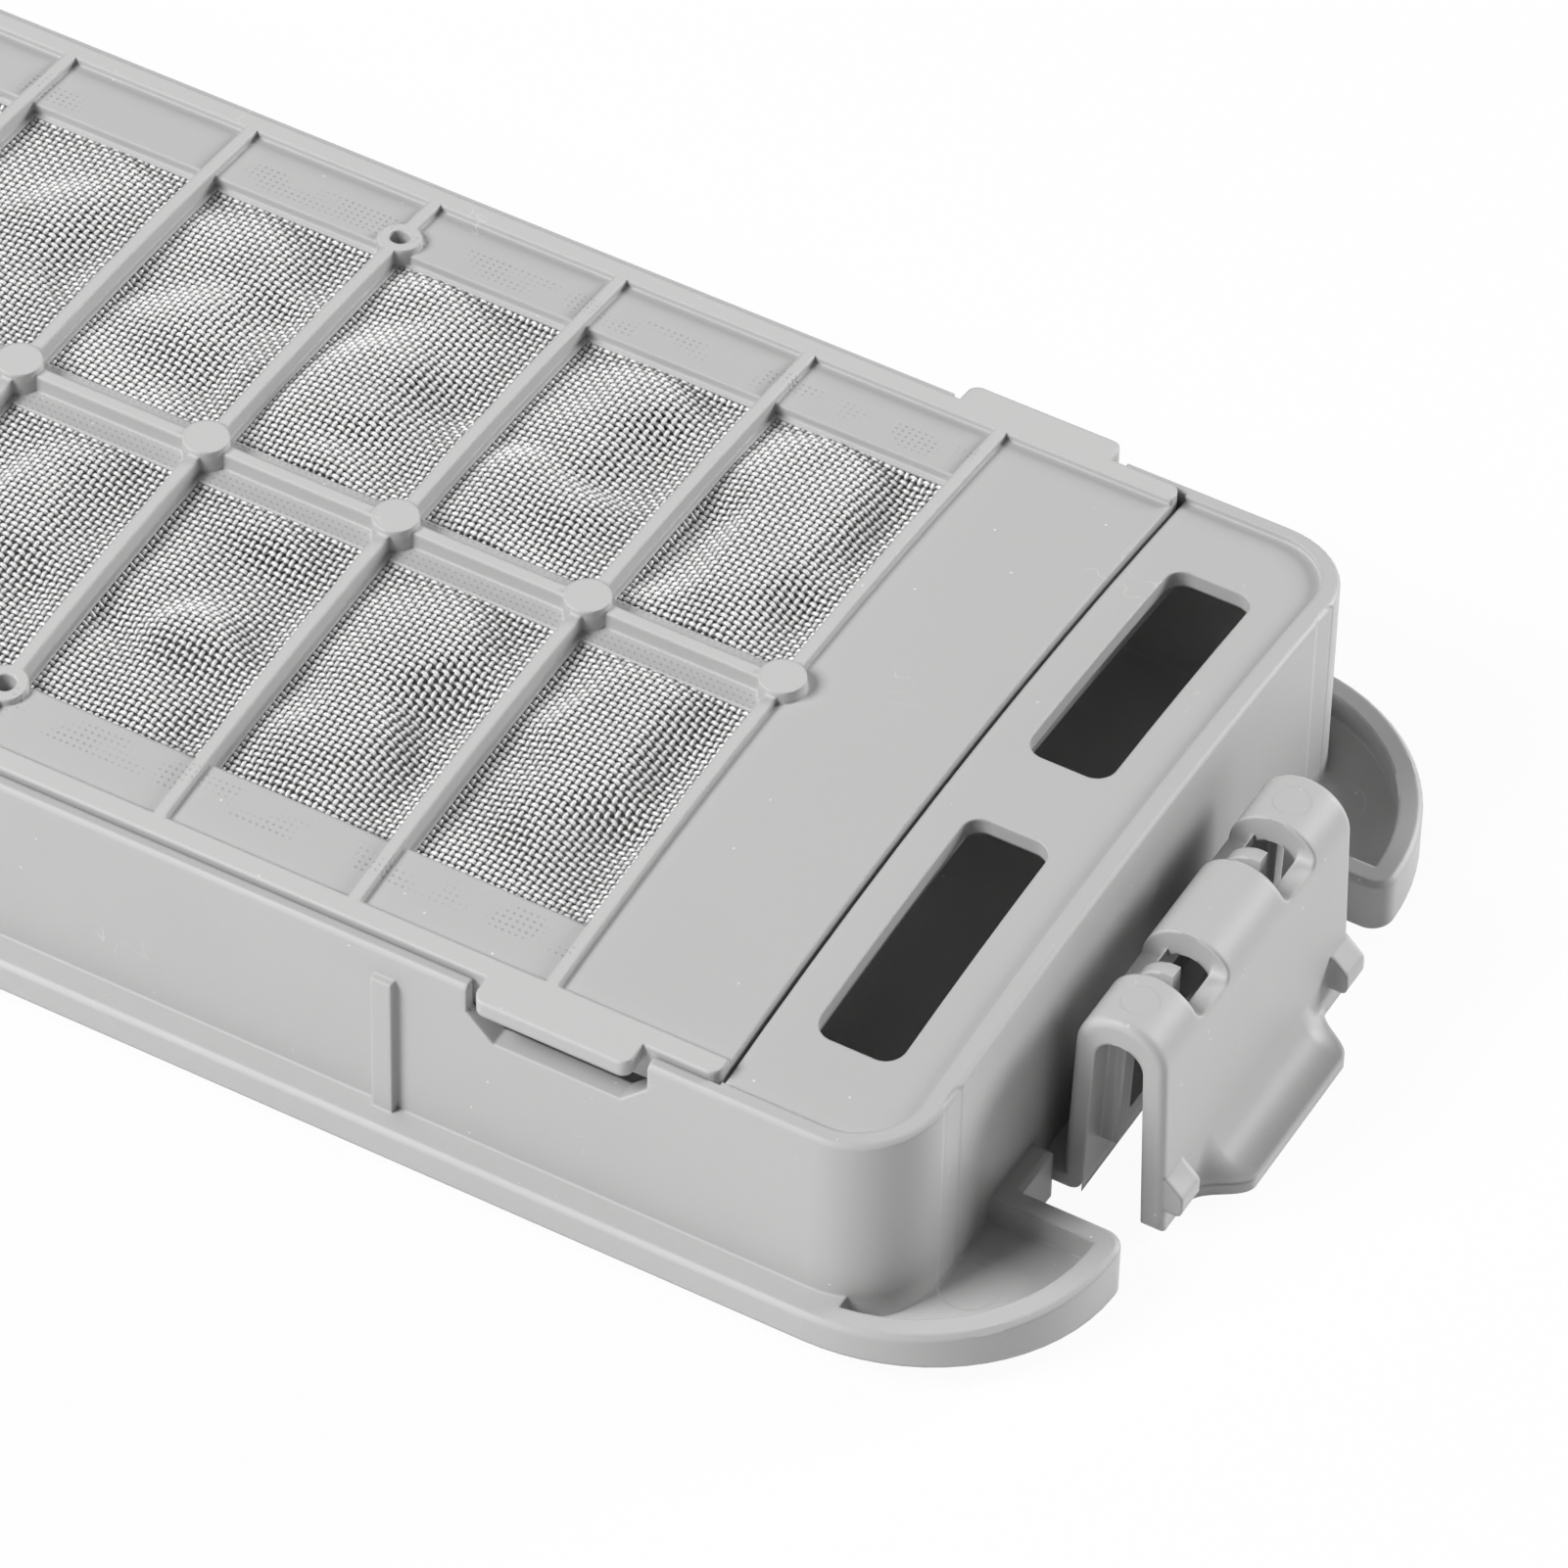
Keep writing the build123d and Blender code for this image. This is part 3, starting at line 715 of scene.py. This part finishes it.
        tube = graph.node(
            "GeometryNodeCurveToMesh", Curve=graph.out(laid), Profile_Curve=graph.out(ring), Fill_Caps=True
        )
        soft = graph.node("GeometryNodeSetShadeSmooth", Geometry=graph.out(tube))
        real = graph.node("GeometryNodeRealizeInstances", i0=graph.out(soft))
        done = graph.node("GeometryNodeSetMaterial", Geometry=graph.out(real), Material=get("Thread"))
        end = tree.nodes.new("NodeGroupOutput")
        graph.put(end.inputs[0], graph.out(done))
        return tree

    def build(self, material: bpy.types.Material) -> bpy.types.Object:
        """Weaves the window and fixes it to the lid.

        Args:
            material: The threads' material.

        Returns:
            The finished piece.
        """
        name = f"woven_mesh_{self.side.name.lower()}_{self.column + 1}"
        tree = self.tree()
        seed = bpy.data.objects.new(f"{name}_source", bpy.data.meshes.new(f"{name}_source"))
        bpy.context.collection.objects.link(seed)
        modifier = seed.modifiers.new("weave", "NODES")
        modifier.node_group = tree
        values = self.sizes() | {"Thread": material}
        for item in tree.interface.items_tree:
            if item.in_out == "INPUT":
                modifier[item.identifier] = values[item.name]
        view = bpy.context.evaluated_depsgraph_get()
        mesh = bpy.data.meshes.new_from_object(seed.evaluated_get(view))
        piece = bpy.data.objects.new(name, mesh)
        bpy.context.collection.objects.link(piece)
        seed.modifiers.remove(modifier)
        bpy.data.objects.remove(seed)
        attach(piece, "lid")
        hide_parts("filter_mesh")
        return piece


@dataclass(frozen=True)
class Softbox:
    """A soft square lamp that faces the cartridge, in metres and watts."""

    name: str
    place: tuple[float, float, float]
    size: float
    power: float

    def build(self) -> bpy.types.Object:
        """Sets up the lamp.

        Returns:
            The lamp.
        """
        data = bpy.data.lights.new(self.name, "AREA")
        data.shape = "SQUARE"
        data.size = self.size
        data.energy = self.power
        shown = bpy.data.objects.new(self.name, data)
        shown.location = self.place
        shown.rotation_euler = (-Vector(self.place)).to_track_quat("-Z", "Y").to_euler()
        bpy.context.collection.objects.link(shown)
        return shown


@dataclass
class Studio:
    """Pale floor, soft lamps, white backdrop and the camera at the photograph's angle."""

    focal_mm: float = 250.4
    sensor_mm: float = 36.0
    azimuth: float = 28.67
    elevation: float = 45.56
    roll: float = 1.41
    aim: Vector = field(default_factory=lambda: Vector((53.258, 0.0, 32.44)) * MM)
    right_shift: float = 0.143 * MM
    up_shift: float = -10.35 * MM
    distance: float = 1062.6 * MM
    fill: float = 0.14
    floor_half: float = 4.0
    floor_drop: float = 0.4 * MM
    floor_tone: Colour = (0.82, 0.82, 0.82)
    floor_roughness: float = 0.9
    floor_glow: float = 0.95
    lamps: tuple[Softbox, ...] = (
        Softbox("front_softbox", (-0.85, -1.15, 1.45), 0.9, 44.0),
        Softbox("far_softbox", (1.1, 1.5, 0.6), 0.8, 33.0),
    )

    def floor(self) -> bpy.types.Object:
        """A pale floor that stays white to the camera and keeps a soft shadow.

        Returns:
            The floor.
        """
        half = self.floor_half
        corners = [(-half, -half, 0), (half, -half, 0), (half, half, 0), (-half, half, 0)]
        mesh = bpy.data.meshes.new("floor")
        mesh.from_pydata(corners, [], [(0, 1, 2, 3)])
        mesh.transform(Matrix.Translation((0, 0, -self.floor_drop)))
        shown = bpy.data.objects.new("floor", mesh)
        bpy.context.collection.objects.link(shown)
        made, graph, shader = new_material("pale_floor")
        shader.inputs["Base Color"].default_value = (*self.floor_tone, 1.0)
        shader.inputs["Roughness"].default_value = self.floor_roughness
        glow = graph.out(graph.node("ShaderNodeEmission", Color=WHITE, Strength=1.0))
        rays = graph.node("ShaderNodeLightPath")
        seen = graph.math("MAXIMUM", graph.out(rays, "Is Camera Ray"), graph.out(rays, "Is Glossy Ray"))
        seen = graph.math("MAXIMUM", seen, graph.out(rays, "Is Transmission Ray"))
        blend = graph.node("ShaderNodeMixShader", i0=seen * self.floor_glow, i1=graph.out(shader), i2=glow)
        end = next(n for n in made.node_tree.nodes if n.type == "OUTPUT_MATERIAL")
        graph.put(end.inputs["Surface"], graph.out(blend))
        mesh.materials.append(made)
        return shown

    def backdrop(self) -> None:
        """A white world that lights the object softly."""
        world = bpy.data.worlds.new("white_room")
        world.use_nodes = True
        graph = Graph(world.node_tree)
        sky = next(n for n in world.node_tree.nodes if n.type == "BACKGROUND")
        rays = graph.node("ShaderNodeLightPath")
        seen = graph.out(rays, "Is Camera Ray")
        sky.inputs["Color"].default_value = WHITE
        graph.put(sky.inputs["Strength"], seen * (1.0 - self.fill) + self.fill)
        bpy.context.scene.world = world

    def camera(self) -> None:
        """The camera at the photograph's place, angle and length."""
        az, el, roll = (math.radians(a) for a in (self.azimuth, self.elevation, self.roll))
        right = Vector((math.cos(az), math.sin(az), 0.0))
        back = Vector((math.sin(az) * math.cos(el), -math.cos(az) * math.cos(el), math.sin(el)))
        up = back.cross(right)
        rolled = right * math.cos(roll) + up * math.sin(roll)
        up = up * math.cos(roll) - right * math.sin(roll)
        right = rolled
        place = self.aim + right * self.right_shift + up * self.up_shift + back * self.distance
        data = bpy.data.cameras.new("photo_camera")
        data.sensor_width = self.sensor_mm
        data.lens = self.focal_mm
        data.clip_start = 0.01
        data.clip_end = 50.0
        shown = bpy.data.objects.new("photo_camera", data)
        turn = Matrix((right, up, back)).transposed().to_4x4()
        shown.matrix_world = Matrix.Translation(place) @ turn
        bpy.context.collection.objects.link(shown)
        bpy.context.scene.camera = shown

    def build(self) -> None:
        """Sets up the whole studio."""
        self.floor()
        self.backdrop()
        for lamp in self.lamps:
            lamp.build()
        self.camera()
        bpy.context.scene.view_settings.view_transform = "Standard"


def main() -> None:
    """Builds the pieces in order and reports each one."""
    logging.basicConfig(level=logging.INFO)
    grid = LidGrid.from_frame()
    crown_mark = EjectorMark(x=LATCH_SEAM, y=15.5, radius=1.9)
    lobe_mark = EjectorMark(x=LATCH_SEAM - 5.6, y=37.7, radius=3.1)
    imprint = MeshImprint(
        pitch=THREAD_PITCH,
        ledge_level=30.0,
        ledge_side=(0.7, 3.5),
        strip_side=(37.0, 40.6),
        along=(grid.cell_start(0) / MM, grid.cell_start(grid.columns) / MM),
    )
    finishes = {
        "casing": SatinPlastic("satin_casing", marks=(crown_mark, lobe_mark)),
        "latch": SatinPlastic("satin_latch", edge_radius=0.7 * MM, marks=(crown_mark,)),
        # The lid's rib tops above 31.45 mm get painted light
        "lid_frame": SatinPlastic("satin_lid", edge_radius=0.55 * MM, imprint=imprint, top_light_level=31.45),
    }
    for node, finish in finishes.items():
        LOG.info("dressed %s", MouldedPiece(node, finish).dress().name)
    thread = NylonThread().material()
    for side in Side:
        for column in range(grid.columns):
            piece = WovenWindow(side, column, grid).build(thread)
            LOG.info("wove %s with %d faces", piece.name, len(piece.data.polygons))
    Studio().build()


if __name__ == "__main__":
    main()
